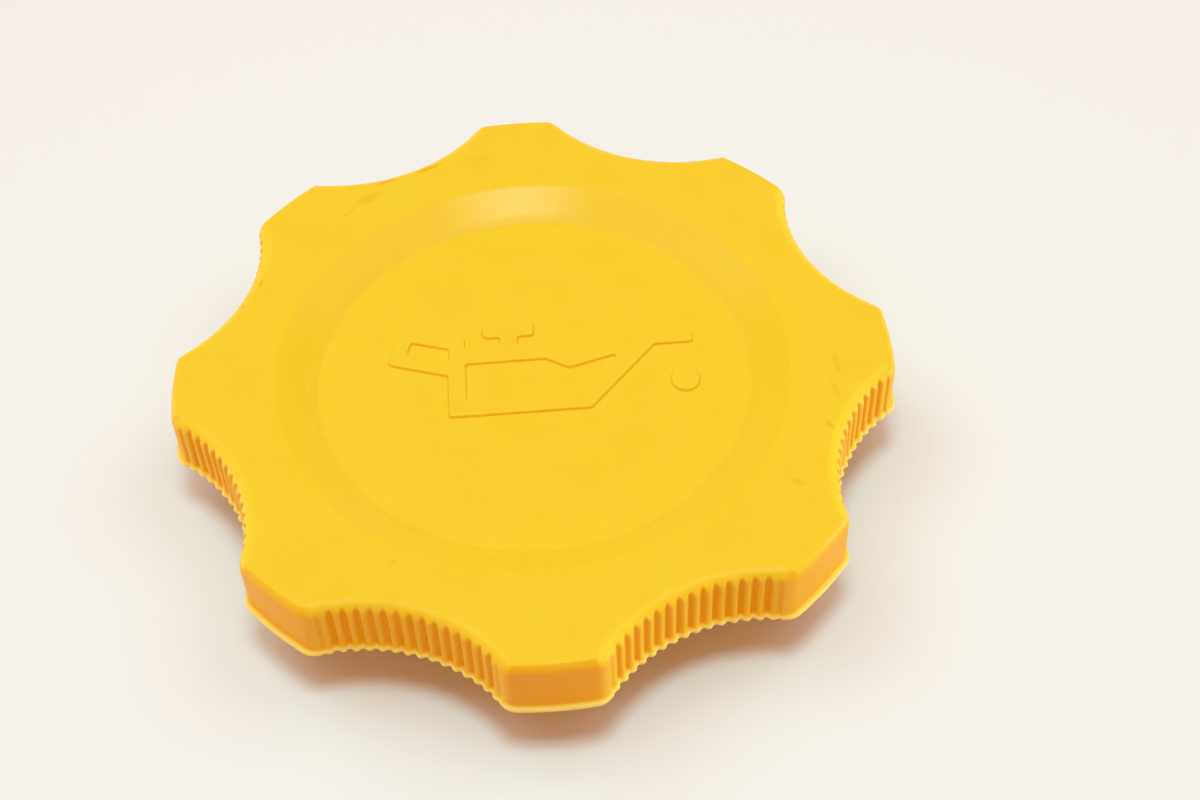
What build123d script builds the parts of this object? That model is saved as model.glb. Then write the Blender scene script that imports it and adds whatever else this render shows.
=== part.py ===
from build123d import *
import os
from math import acos, atan2, cos, degrees, radians, sin, tan

# Oil filler cap for an engine's filler neck, lying spigot down as it stands on a table.
# +Z is up, the origin is on the cap's axis at the spigot's lower end, and lobe number 0 points along +X.
# Two pieces: the moulded cap (lobed grip, dished top, hollow underside, bayonet spigot) and its seal ring.

# Driving dimensions of the grip's outline, in millimetres
lobe_count = 8
tip_radius = 40.0             # axis to the outer face of a lobe
scallop_depth = 4.6           # a lobe's outer face to the deepest point of a finger scallop
scallop_radius = 19.1         # the arc of a finger scallop
corner_radius = 2.0           # rounding between a lobe's face and its scallops

# Reeding in the scallops: rounded reeds with wide grooves between them
reed_count = 15               # whole reeds in one scallop
reed_depth = 0.45             # crest to groove
reed_rise = 0.08              # a reed's crest above its own edges
groove_width = 0.66           # between the edges of two reeds
groove_floor_width = 0.28     # across the flat bottom of a groove
end_groove_depth = 0.2        # the last groove at each end runs out into the rounded corner
reed_margin = 0.22            # last groove to the start of the rounded corner, along the arc

# Grip flange, from its top face down
flange_height = 7.3           # top face to the rim's lower edge
top_edge_radius = 1.5
lip_thickness = 0.5           # thin parting lip along the rim's lower edge
lip_out = 0.3                 # how far the lip stands out from the wall
lip_reed_depth = 0.28         # the reeds' waves, as they show on the lip
wall = 2.2                    # rim wall
plate = 2.3                   # top plate, dish included
pocket_corner_radius = 1.0    # inner corners of the rim

# Dished top
dish_radius = 28.7            # where the dish's slope meets the top face
dish_floor_radius = 24.1
dish_depth = 2.5
dish_shoulder_radius = 2.6
dish_floor_fillet = 0.5

# Stiffening ribs under the flange, one behind the middle of each scallop
rib_thickness = 1.6
rib_setback = 0.6             # lower edge of a rib above the rim's lower edge
rib_seal_gap = 0.8            # inner end of a rib to the seal ring

# Spigot with its bayonet lugs
spigot_radius = 19.0
spigot_wall = 2.4
spigot_drop = 7.5             # spigot's end below the rim's lower edge
spigot_chamfer = 0.8
lug_count = 3
lug_sweep = 42.0              # degrees round the spigot
lug_reach = 3.0               # lug's outer face beyond the spigot
lug_thickness = 2.2
lug_end_gap = 1.1             # lug's lower face above the spigot's end
lug_edge_radius = 0.5
ramp_share = 0.45             # share of the lug's sweep that is the lead-in ramp
ramp_rise = 0.9               # height that the ramp climbs

# Seal ring
seal_clearance = 0.1          # between the ring's bore and the spigot
seal_width = 4.8
seal_thickness = 2.4
seal_edge_radius = 0.4

# Heights above the spigot's end
rim_z = spigot_drop
lip_top_z = rim_z + lip_thickness
top_z = rim_z + flange_height
dish_floor_z = top_z - dish_depth
ceiling_z = top_z - plate
seat_z = dish_floor_z - plate
lug_top_z = lug_end_gap + lug_thickness

# The outline's pattern
lobe_step = 360 / lobe_count
scallop_floor_radius = tip_radius - scallop_depth
scallop_centre = scallop_floor_radius + scallop_radius
lug_step = 360 / lug_count

# The dish's slope, and how far the plate's underside moves out from it so that the wall stays even
dish_slope = degrees(atan2(dish_depth, dish_radius - dish_floor_radius))
underside_shift = plate * tan(radians(dish_slope / 2))
seat_radius = dish_floor_radius + underside_shift
bulge_radius = dish_radius + underside_shift

seal_bore_radius = spigot_radius + seal_clearance
seal_outer_radius = seal_bore_radius + seal_width


def spot(radius, angle, start=Vector(0, 0)):
    """Point at a radius and an angle in degrees from a start point."""
    return start + Vector(radius * cos(radians(angle)), radius * sin(radians(angle)))


def corner_angles(tip, scallop, rounding):
    """Where a lobe's rounded corner lies: its angle from the scallop's middle, seen from the cap's axis,
    and the scallop's half angle, seen from the scallop's own centre."""
    from_axis = tip - rounding
    from_scallop = scallop + rounding
    cosine = (from_axis**2 + scallop_centre**2 - from_scallop**2) / (2 * from_axis * scallop_centre)
    corner = acos(cosine)
    half = atan2(from_axis * sin(corner), scallop_centre - from_axis * cos(corner))
    return degrees(corner), degrees(half)


scallop_half_angle = corner_angles(tip_radius, scallop_radius, corner_radius)[1]
last_groove_angle = scallop_half_angle - degrees(reed_margin / scallop_radius)
reed_angle = 2 * last_groove_angle / reed_count


def scallop_arcs(middle, scallop, half, depth):
    """One scallop's edge, from its first to its last point: a plain arc, or reeds where a depth is given."""
    centre = spot(scallop_centre, middle)

    def on_scallop(angle, deeper=0.0):
        return spot(scallop + deeper, middle + 180 - angle, centre)

    if depth == 0:
        return [ThreePointArc(on_scallop(-half), on_scallop(0), on_scallop(half))]
    share = depth / reed_depth
    to_edge = degrees(groove_width / 2 / scallop_radius)
    to_floor = degrees(groove_floor_width / 2 / scallop_radius)
    edges = []
    last = on_scallop(-half)
    for i in range(reed_count + 1):
        groove = reed_angle * i - last_groove_angle
        deep = end_groove_depth * share if i in (0, reed_count) else depth
        floor = [on_scallop(groove - to_floor, deep), on_scallop(groove + to_floor, deep)]
        edges += [Line(last, floor[0]), Line(*floor)]
        if i == reed_count:
            break
        reed = [on_scallop(groove + to_edge, reed_rise * share), on_scallop(groove + reed_angle / 2)]
        reed.append(on_scallop(groove + reed_angle - to_edge, reed_rise * share))
        edges += [Line(floor[1], reed[0]), ThreePointArc(*reed)]
        last = reed[2]
    edges.append(Line(floor[1], on_scallop(half)))
    return edges


def rim_outline(grow=0.0, rounding=None, depth=0.0):
    """Face inside the lobed outline, grown outwards by a distance, with its scallops reeded to a depth."""
    tip = tip_radius + grow
    scallop = scallop_radius - grow
    if rounding is None:
        rounding = corner_radius + grow
    corner, half = corner_angles(tip, scallop, rounding)
    corner_middle = (corner - half) / 2
    edges = []
    for i in range(lobe_count):
        middle = lobe_step * (i + 0.5)
        for side in (-1, 1):
            centre = spot(tip - rounding, middle + side * corner)
            at_tip = spot(tip, middle + side * corner)
            between = spot(rounding, middle + side * corner_middle, centre)
            at_scallop = spot(rounding, middle - side * half, centre)
            edges.append(ThreePointArc(at_tip, between, at_scallop))
        edges.extend(scallop_arcs(middle, scallop, half, depth))
        next_middle = middle + lobe_step
        tip_ends = [spot(tip, middle + corner), spot(tip, next_middle - corner)]
        edges.append(ThreePointArc(tip_ends[0], spot(tip, middle + lobe_step / 2), tip_ends[1]))
    return make_face(edges)


def layer(face, bottom, top):
    """A flat face drawn up from one height to another."""
    return extrude(Pos(0, 0, bottom) * face, amount=top - bottom, dir=(0, 0, 1))


def turned(points):
    """Solid of revolution about the cap's axis from radius and height pairs."""
    section = make_face(Polyline([(r, 0, z) for r, z in points], close=True))
    return revolve(section, Axis.Z)


def circle_edge(solid, radius, height):
    """The round edges of a solid at one radius and height."""
    edges = solid.edges().filter_by(GeomType.CIRCLE)
    return edges.filter_by(lambda e: abs(e.radius - radius) < 1e-4 and abs(e.center().Z - height) < 1e-4)


def grip_block():
    """The flange before it is hollowed: rounded crown, reeded band and parting lip, with the dish sunk in."""
    crown = layer(rim_outline(), lip_top_z, top_z)
    crown = fillet(crown.edges().group_by(Axis.Z)[-1], top_edge_radius)
    band = layer(rim_outline(depth=reed_depth), lip_top_z, top_z) & crown
    lip = layer(rim_outline(grow=lip_out, depth=lip_reed_depth), rim_z, lip_top_z)
    dish = turned(
        [(0, dish_floor_z), (dish_floor_radius, dish_floor_z), (dish_radius, top_z), (0, top_z)]
    )
    block = band + lip - dish
    block = fillet(circle_edge(block, dish_radius, top_z), dish_shoulder_radius)
    return fillet(circle_edge(block, dish_floor_radius, dish_floor_z), dish_floor_fillet)


def underside():
    """The hollow under the flange: the rim's inner outline, less the underside of the dish and the ribs."""
    hollow = layer(rim_outline(grow=-wall, rounding=pocket_corner_radius), rim_z, ceiling_z)
    bulge = turned([(0, seat_z), (seat_radius, seat_z), (bulge_radius, ceiling_z), (0, ceiling_z)])
    return hollow - bulge - stiffening_ribs()


def stiffening_ribs():
    """Radial ribs from the dish's underside to the rim wall, one behind each scallop."""
    inner = seal_outer_radius + rib_seal_gap
    outer = scallop_floor_radius - wall / 2
    bottom = rim_z + rib_setback
    top = ceiling_z + plate / 2
    rib = Pos((inner + outer) / 2, 0, (bottom + top) / 2) * Box(outer - inner, rib_thickness, top - bottom)
    return [Rot(0, 0, lobe_step * (i + 0.5)) * rib for i in range(lobe_count)]


def spigot():
    """The hollow spigot, chamfered at its end to find the neck."""
    inner = spigot_radius - spigot_wall
    return turned(
        [
            (inner, 0),
            (spigot_radius - spigot_chamfer, 0),
            (spigot_radius, spigot_chamfer),
            (spigot_radius, seat_z),
            (inner, seat_z),
        ]
    )


def bayonet_lug():
    """One lug: a short ring segment, its upper face falling away in a lead-in ramp at the leading end."""
    root = spigot_radius - spigot_wall / 2
    outer = spigot_radius + lug_reach
    section = Pos((root + outer) / 2, (lug_end_gap + lug_top_z) / 2) * Rectangle(outer - root, lug_thickness)
    section = fillet(section.vertices().group_by(Axis.X)[-1], lug_edge_radius)
    segment = revolve(Plane.XZ * section, Axis.Z, revolution_arc=lug_sweep)
    ramp_sweep = lug_sweep * ramp_share
    ramp_length = 2 * outer * sin(radians(ramp_sweep / 2))
    ramp_tilt = degrees(atan2(ramp_rise, ramp_length))
    cutter = Pos(0, -ramp_length, 0) * Box(
        3 * outer, 2 * ramp_length, 2 * lug_thickness, align=(Align.CENTER, Align.CENTER, Align.MIN)
    )
    start = spot(spigot_radius, ramp_sweep)
    placed = Pos(start.X, start.Y, lug_top_z) * Rot(0, 0, ramp_sweep / 2) * Rot(ramp_tilt, 0, 0) * cutter
    return segment - placed


def cap_body():
    """The moulded cap in one piece, with the middle of one lug under lobe number 0."""
    lug = Rot(0, 0, -lug_sweep / 2) * bayonet_lug()
    lugs = [Rot(0, 0, lug_step * i) * lug for i in range(lug_count)]
    return grip_block() - underside() + spigot() + lugs


def seal_ring():
    """The flat rubber ring round the spigot, against the underside of the dish."""
    bottom = seat_z - seal_thickness
    ring = turned(
        [
            (seal_bore_radius, bottom),
            (seal_outer_radius, bottom),
            (seal_outer_radius, seat_z),
            (seal_bore_radius, seat_z),
        ]
    )
    return fillet(ring.edges().group_by(Axis.Z)[0], seal_edge_radius)


os.makedirs("parts", exist_ok=True)
export_step(cap_body(), "parts/cap_body.step")
export_step(seal_ring(), "parts/seal_ring.step")
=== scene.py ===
"""Dresses the packed oil filler cap: moulded skin with raised sign, seal, finishes, light and camera."""

import bpy
import numpy as np
from mathutils import Matrix, Vector
from mathutils.geometry import tessellate_polygon


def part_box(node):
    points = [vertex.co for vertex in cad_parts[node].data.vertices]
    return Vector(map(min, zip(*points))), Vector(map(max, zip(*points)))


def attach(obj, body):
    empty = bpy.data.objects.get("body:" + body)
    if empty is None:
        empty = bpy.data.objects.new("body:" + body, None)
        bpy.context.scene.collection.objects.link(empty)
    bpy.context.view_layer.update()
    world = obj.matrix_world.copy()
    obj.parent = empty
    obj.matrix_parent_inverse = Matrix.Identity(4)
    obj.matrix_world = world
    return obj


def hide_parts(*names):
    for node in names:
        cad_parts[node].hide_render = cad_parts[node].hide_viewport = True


bl_info = {
    "name": "Oil filler cap",
    "version": (1, 0, 0),
    "blender": (4, 5, 0),
    "location": "3D View > Sidebar > Oil filler cap",
    "description": "Builds the cap's moulding, sign and seal with their finishes, and a studio stage",
    "category": "Add Mesh",
}

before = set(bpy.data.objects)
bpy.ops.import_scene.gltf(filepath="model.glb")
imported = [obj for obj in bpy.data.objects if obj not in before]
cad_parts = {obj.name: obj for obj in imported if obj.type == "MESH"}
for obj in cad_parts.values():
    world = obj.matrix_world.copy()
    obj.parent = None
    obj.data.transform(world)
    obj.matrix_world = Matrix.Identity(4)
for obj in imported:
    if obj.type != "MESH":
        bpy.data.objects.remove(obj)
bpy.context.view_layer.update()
BODY = "root"
MM = 0.001
TOP_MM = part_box("cap_body")[1].z / MM
SEAL_LOW_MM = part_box("seal_ring")[0].z / MM
SEAL_HIGH_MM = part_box("seal_ring")[1].z / MM
SEAL_RADIUS_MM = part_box("seal_ring")[1].x / MM


def linear(code):
    """Linear red, green and blue of an sRGB hex colour."""
    srgb = np.array([int(code[i : i + 2], 16) for i in (1, 3, 5)]) / 255
    return np.where(srgb <= 0.04045, srgb / 12.92, ((srgb + 0.055) / 1.055) ** 2.4).tolist()


def length(name, millimetres, description):
    """A length property, written in millimetres and kept in metres."""
    return bpy.props.FloatProperty(
        name=name, description=description, default=millimetres * MM, min=0.0, precision=5, unit="LENGTH"
    )


def turn(name, degrees, description):
    """An angle property, written in degrees and kept in radians."""
    return bpy.props.FloatProperty(
        name=name, description=description, default=np.radians(degrees), precision=3, unit="ROTATION"
    )


def count(name, number, description):
    """A property that counts repeats of a feature."""
    return bpy.props.IntProperty(name=name, description=description, default=number, min=1)


def share(name, value, description):
    """A property from 0 to 1."""
    return bpy.props.FloatProperty(
        name=name, description=description, default=value, min=0.0, max=1.0, subtype="FACTOR"
    )


def tint(name, code, description):
    """A colour property, written as an sRGB hex value and kept linear."""
    return bpy.props.FloatVectorProperty(
        name=name, description=description, default=linear(code), size=3, min=0.0, max=1.0, subtype="COLOR"
    )


class GripSizes(bpy.types.PropertyGroup):
    """Sizes of the lobed and reeded grip."""

    top: length("Top face", TOP_MM, "Height of the top face above the table")
    lobes: count("Lobes", 8, "Lobes round the grip")
    tip_radius: length("Lobe radius", 40.0, "From the axis to the outer face of a lobe")
    scallop_depth: length("Scallop depth", 4.6, "From a lobe's face to the bottom of a finger scallop")
    scallop_radius: length("Scallop radius", 19.1, "Radius of a finger scallop")
    corner_radius: length("Corner radius", 2.0, "Rounding between a lobe's face and its scallops")
    reeds: count("Reeds", 15, "Whole reeds in one scallop")
    reed_depth: length("Reed depth", 0.45, "From a reed's crest to the groove beside it")
    reed_share: share("Reed share", 0.56, "Share of the pitch that is reed, the rest is groove")
    end_groove_depth: length("End groove depth", 0.2, "Depth of the last groove at each end")
    reed_margin: length("Reed margin", 0.22, "From the last groove to the rounded corner")
    groove_edge: length("Groove edge", 0.1, "Softness where a groove runs out in the top edge")
    edge_radius: length("Top edge radius", 1.5, "Rounding of the top edge in the scallops")
    lobe_edge_radius: length("Lobe edge radius", 1.7, "Rounding of the top edge on a lobe's face")
    lobe_edge_break: turn("Lobe edge break", 42.0, "Tilt at which a lobe's rounding starts")
    height: length("Flange height", 7.3, "From the top face to the rim's lower edge")
    lip_thickness: length("Lip thickness", 0.5, "Thickness of the parting lip")
    lip_out: length("Lip reach", 0.3, "How far the parting lip stands out in the scallops")
    lobe_lip_out: length("Lobe lip reach", 0.5, "How far the parting lip stands out on a lobe's face")
    lip_wave: share("Lip wave", 0.6, "Depth of the lip's waves as a share of the reeds'")
    lip_flash: length("Lip flash", 0.1, "Most that flash adds to the lip under a reed")
    lip_edge: length("Lip edge", 0.16, "Rounding of the lip's edges")
    lip_fillet: length("Lip fillet", 0.3, "Rounding above the lip")
    wall: length("Rim wall", 2.2, "Thickness of the rim")
    plate: length("Top plate", 2.3, "Thickness of the top plate")
    pocket_corner: length("Pocket corner", 1.0, "Inner corners of the rim")
    pocket_fillet: length("Pocket fillet", 0.5, "Rounding where the rim meets the top plate inside")


class DishSizes(bpy.types.PropertyGroup):
    """Sizes of the dished top."""

    radius: length("Dish radius", 28.7, "Where the slope would meet the top face")
    floor_radius: length("Floor radius", 24.1, "Where the slope would meet the floor")
    depth: length("Depth", 2.5, "Floor below the top face")
    shoulder: length("Shoulder radius", 2.6, "Rounding of the dish's upper edge")
    fillet: length("Floor fillet", 0.9, "Rounding of the dish's lower edge")


class SpigotSizes(bpy.types.PropertyGroup):
    """Sizes of the spigot, its lugs, the ribs and the seal ring."""

    radius: length("Spigot radius", 19.0, "Outside of the spigot")
    wall: length("Spigot wall", 2.4, "Thickness of the spigot")
    chamfer: length("Chamfer", 0.8, "Bevel at the spigot's end")
    edge: length("Moulded edge", 0.2, "Small rounding left on every moulded edge")
    lugs: count("Lugs", 3, "Bayonet lugs round the spigot")
    lug_sweep: turn("Lug sweep", 42.0, "Length of a lug round the spigot")
    lug_reach: length("Lug reach", 3.0, "How far a lug stands out")
    lug_low: length("Lug underside", 1.1, "Lower face of a lug above the spigot's end")
    lug_thickness: length("Lug thickness", 2.2, "Height of a lug")
    lug_edge: length("Lug edge", 0.5, "Rounding of a lug's long edges")
    ramp_share: share("Ramp share", 0.45, "Share of a lug that is its lead-in ramp")
    ramp_rise: length("Ramp rise", 0.9, "Height that the ramp climbs")
    rib_thickness: length("Rib thickness", 1.6, "Thickness of a stiffening rib")
    rib_setback: length("Rib setback", 0.6, "Lower edge of a rib above the rim's lower edge")
    rib_start: length("Rib start", SEAL_RADIUS_MM + 0.8, "Inner end of a rib from the axis")
    seal_bore: length("Seal bore", 19.1, "Inner radius of the seal ring")
    seal_outer: length("Seal radius", SEAL_RADIUS_MM, "Outer radius of the seal ring")
    seal_low: length("Seal underside", SEAL_LOW_MM, "Lower face of the seal ring")
    seal_high: length("Seal seat", SEAL_HIGH_MM, "Upper face of the seal ring")
    seal_edge: length("Seal edge", 0.4, "Rounding of the seal ring's lower edges")
    seal_seat_edge: length("Seal seat edge", 0.05, "Rounding of the seal ring's upper edges")


class SignSizes(bpy.types.PropertyGroup):
    """Sizes of the raised oil-can sign."""

    height: length("Sign height", 0.36, "How far the sign stands above the dish's floor")
    draft: length("Draft", 0.05, "How far a stroke's sides lean in")
    edge: length("Sign edge", 0.12, "Rounding of a stroke's upper edges")
    fillet: length("Sign fillet", 0.08, "Rounding where a stroke meets the floor")


class Finishes(bpy.types.PropertyGroup):
    """Colours of the pieces and the stage."""

    yellow: tint("Yellow", "#FDCE29", "Moulded plastic")
    yellow_deep: tint("Deep yellow", "#F7C316", "Plastic where the pigment clouds")
    # The polished yellow is painted shade on the dish's slope.
    polished: tint("Polished yellow", "#FDCE1D", "Plastic on the dish's slope, deeper because it is smooth")
    # The side orange is painted shade, stronger as the top edge turns down to the wall.
    side: tint("Side orange", "#F6AE06", "Plastic on the sides, where light comes through from the top")
    # The groove orange is painted shade in the grooves, with grime.
    groove: tint("Groove orange", "#F3AE04", "Plastic in the grooves, with years of grime")
    # The flash yellow is a painted highlight, with painted light coming through the thin lip.
    flash: tint("Flash yellow", "#FFE06E", "Thin flash on the parting lip, which lets light through")
    grime: tint("Grime", "#E2960C", "Old oil and dust rubbed into the top")
    rubber: tint("Rubber", "#1B1B1C", "Seal ring")
    rubber_bloom: tint("Rubber bloom", "#2C2C2D", "Dusty bloom on the seal ring")
    floor: tint("Floor", "#F7F4F0", "Table top")
    backdrop: tint("Backdrop", "#F7F4F0", "Behind the table")
    fill: tint("Fill light", "#FFB298", "Light of the room from all round")
    fill_level: share("Fill level", 0.63, "Strength of the room's light, where the whole is 1")


def soft_corners(corners, steps, guard=0.0, closed=True):
    """Complex points of a line through corners (x, y, radius), each corner turned into an arc.

    The arc of a corner touches both sides at radius / tan(half the corner's angle) from it. A guard adds a
    point that far before and after each arc, which keeps the shading of the straight sides flat.
    """
    spot = np.array([complex(x, y) for x, y, _ in corners])
    radius = np.array([r for _, _, r in corners])
    back = np.roll(spot, 1) - spot
    back = back / abs(back)
    ahead = np.roll(spot, -1) - spot
    ahead = ahead / abs(ahead)
    half = np.arccos(np.clip((back * ahead.conj()).real, -1, 1)) / 2
    if not closed:
        # The ends of an open line are no corners, and any angle does for them.
        half[[0, -1]] = np.pi / 4
    reach = radius / np.tan(half)
    middle = back + ahead
    centre = spot + middle / abs(middle) * radius / np.sin(half)
    first_arm = spot + back * reach - centre
    last_arm = spot + ahead * reach - centre
    sweep = np.angle(last_arm * first_arm.conj())
    swung = np.exp(1j * sweep[:, None] * np.linspace(0, 1, steps))
    line = centre[:, None] + first_arm[:, None] * swung
    if guard:
        line = np.column_stack([spot + back * (reach + guard), line, spot + ahead * (reach + guard)])
    if closed:
        return line.ravel()
    return np.concatenate([spot[:1], line[1:-1].ravel(), spot[-1:]])


def inset(loop, distances):
    """Closed loops at each distance to the left of one: points go along the mitre of their edges' normals."""
    edge = np.roll(loop, -1) - loop
    normal = 1j * edge / abs(edge)
    before = np.roll(normal, 1)
    return loop + distances[:, None] * (before + normal) / (1 + (before * normal.conj()).real)


def quarter(steps):
    """A quarter circle of radius 1: what is left of one side, 1 - sin, and gone of the other, 1 - cos."""
    angle = np.linspace(0, np.pi / 2, steps)
    return 1 - np.sin(angle), 1 - np.cos(angle)


def raised(plan, height):
    """Points from complex plan positions and heights."""
    plan, height = np.broadcast_arrays(plan, height)
    return np.stack([plan.real, plan.imag, height], -1)


def lathe(profile):
    """Rings of a profile (radius + i height) turned about the axis: (r cos a, r sin a, z)."""
    angles = np.linspace(0, 2 * np.pi, ROUND_POINTS, endpoint=False)
    return raised(profile.real[:, None] * np.exp(1j * angles), profile.imag[:, None])


class Skin:
    """Rings of points and the faces between them, gathered into one mesh.

    Rings run anticlockwise seen from above and follow each other along the surface, so that the way along
    it, crossed with the way round it, points out of the material.
    """

    def __init__(self):
        self.points = []
        self.faces = []
        self.total = 0

    def add(self, points):
        """Adds points and gives their numbers, in the same arrangement."""
        shape = points.shape[:-1]
        numbers = self.total + np.arange(np.prod(shape)).reshape(shape)
        self.points.append(points.reshape(-1, 3))
        self.total += numbers.size
        return numbers

    def face(self, *corners):
        """Adds faces whose corners are arrays of point numbers."""
        self.faces += np.stack(np.broadcast_arrays(*corners), -1).reshape(-1, len(corners)).tolist()

    def rows(self, numbers):
        """Quads between neighbouring closed rings."""
        here = numbers[:-1]
        there = numbers[1:]
        self.face(here, there, np.roll(there, -1, -1), np.roll(here, -1, -1))

    def bar(self, points):
        """A closed section carried along a path, one row of points for each station, with its ends capped."""
        numbers = self.add(points)
        self.rows(numbers)
        self.faces.append(numbers[0].tolist())
        self.faces.append(numbers[-1][::-1].tolist())

    def stitch(self, first, second):
        """Triangles between two flat rings with different numbers of points, matched by their angle."""
        points = np.concatenate(self.points)
        rings = []
        for ring in (first, second):
            angle = np.arctan2(points[ring, 1], points[ring, 0]) % (2 * np.pi)
            order = np.argsort(angle)
            rings.append((ring[order], angle[order]))
        (near, near_angle), (far, far_angle) = rings
        across_near = np.searchsorted(near_angle, np.roll(far_angle, -1), "left") - 1
        across_far = np.searchsorted(far_angle, np.roll(near_angle, -1), "right") - 1
        self.face(near[across_near], far, np.roll(far, -1))
        self.face(near, far[across_far], np.roll(near, -1))

    def fill(self, loops, up=True):
        """Flat face inside the first loop and outside the others, turned to face up or down."""
        points = np.concatenate(self.points)
        numbers = np.concatenate(loops)
        triangles = numbers[np.array(tessellate_polygon([points[loop].tolist() for loop in loops]))]
        p, q, r = (points[triangles[:, i], :2] for i in range(3))
        upward = np.cross(q - p, r - p) > 0
        triangles = np.where((upward == up)[:, None], triangles, triangles[:, ::-1])
        self.face(*triangles.T)

    def build(self, name):
        """The mesh object, with its place in its points."""
        mesh = bpy.data.meshes.new(name)
        mesh.from_pydata(np.concatenate(self.points).tolist(), [], self.faces)
        if mesh.validate():
            raise RuntimeError(f"{name} has faces that aren't valid")
        mesh.shade_smooth()
        piece = bpy.data.objects.new(name, mesh)
        bpy.context.scene.collection.objects.link(piece)
        return piece


def dress(piece, material):
    """Gives a piece its finish and its place on the cap."""
    piece.data.materials.append(material)
    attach(piece, BODY)


# How finely the surfaces are drawn: points round the outline, rows down the side, steps round a bend.
TIP_POINTS = 24
CORNER_POINTS = 8
MARGIN_POINTS = 3
REED_POINTS = 12
POCKET_POINTS = 24
ROUND_POINTS = 240
CROWN_ROWS = 13
WALL_ROWS = 6
LIP_STEPS = 5
DISH_STEPS = 9
UNDER_STEPS = 5
EDGE_STEPS = 4
LONG_EDGE_STEPS = 6
SIGN_STEPS = 5
DROP_POINTS = 64
# Stations between a lug's rounded ends, and the share of the lug at which they start.
LUG_STATIONS = 17
LUG_MIDDLE_START = 0.1
# How far from a rounding the points are that keep the flat beside it flat.
GUARD = 0.12 * MM
# Seed of the draws for the flash under each reed.
FLASH_SEED = 11
# Names of the values that each point of the grip carries for its colour: painted shade and grime in the
# grooves, painted shade on the sides and a painted highlight on the lip.
GROOVE_SHADE_AND_GRIME = "groove_depth"
SIDE_PAINTED_SHADE = "grip_side"
LIP_PAINTED_HIGHLIGHT = "lip_flash"
# The painted side shade, an orange that comes in with the top edge's tilt: where it starts, how much later on
# a lobe, and over how much, in degrees. In a scallop it has only a share of its strength.
SIDE_SHADE_START = 24
SIDE_SHADE_LOBE_DELAY = 6
SIDE_SHADE_SPAN = 60
SCALLOP_SHADE_SHARE = 0.45


def scallop_reach(grip):
    """From the axis to the centre of a scallop's arc."""
    return grip.tip_radius - grip.scallop_depth + grip.scallop_radius


def corner_angles(tip, scallop, rounding, reach):
    """Angle of a rounded corner's centre from the scallop's middle, seen from the axis and from the scallop.

    The corner's centre is tip - rounding from the axis and scallop + rounding from the scallop's centre,
    which is at reach from the axis: the three sides of a triangle give its angles.
    """
    near = tip - rounding
    far = scallop + rounding
    corner = np.arccos((near**2 + reach**2 - far**2) / (2 * near * reach))
    half = np.arctan2(near * np.sin(corner), reach - near * np.cos(corner))
    return corner, half


def lobed_outline(grip, scallop_angles, grow=0.0, rounding=None):
    """Complex points and outward normals of the lobed outline.

    One lobe's stretch is an arc about the axis, an arc about the corner's centre, the scallop's arc about its
    own centre and a second corner. Turning it by each lobe's angle gives the whole ring. scallop_angles run
    from -1 to 1 over the scallop.
    """
    step = np.pi / grip.lobes
    tip = grip.tip_radius + grow
    scallop = grip.scallop_radius - grow
    rounding = grip.corner_radius + grow if rounding is None else rounding
    reach = scallop_reach(grip)
    corner, half = corner_angles(tip, scallop, rounding, reach)
    face = step - corner
    round_share = np.linspace(0, 1, CORNER_POINTS, endpoint=False)
    first_corner = (tip - rounding) * np.exp(1j * face)
    second_corner = (tip - rounding) * np.exp(1j * (2 * step - face))
    arcs = [
        (0, tip, np.linspace(-face, face, TIP_POINTS, endpoint=False)),
        (first_corner, rounding, face + (step + half - face) * round_share),
        (reach * np.exp(1j * step), -scallop, step - half * scallop_angles),
        (second_corner, rounding, step - half + (step - face + half) * round_share),
    ]
    normal = np.exp(1j * np.concatenate([angles for _, _, angles in arcs]))
    point = np.concatenate([centre + radius * np.exp(1j * angles) for centre, radius, angles in arcs])
    lobes = np.exp(2j * step * np.arange(grip.lobes))[:, None]
    return (lobes * point).ravel(), (lobes * normal).ravel()


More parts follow.
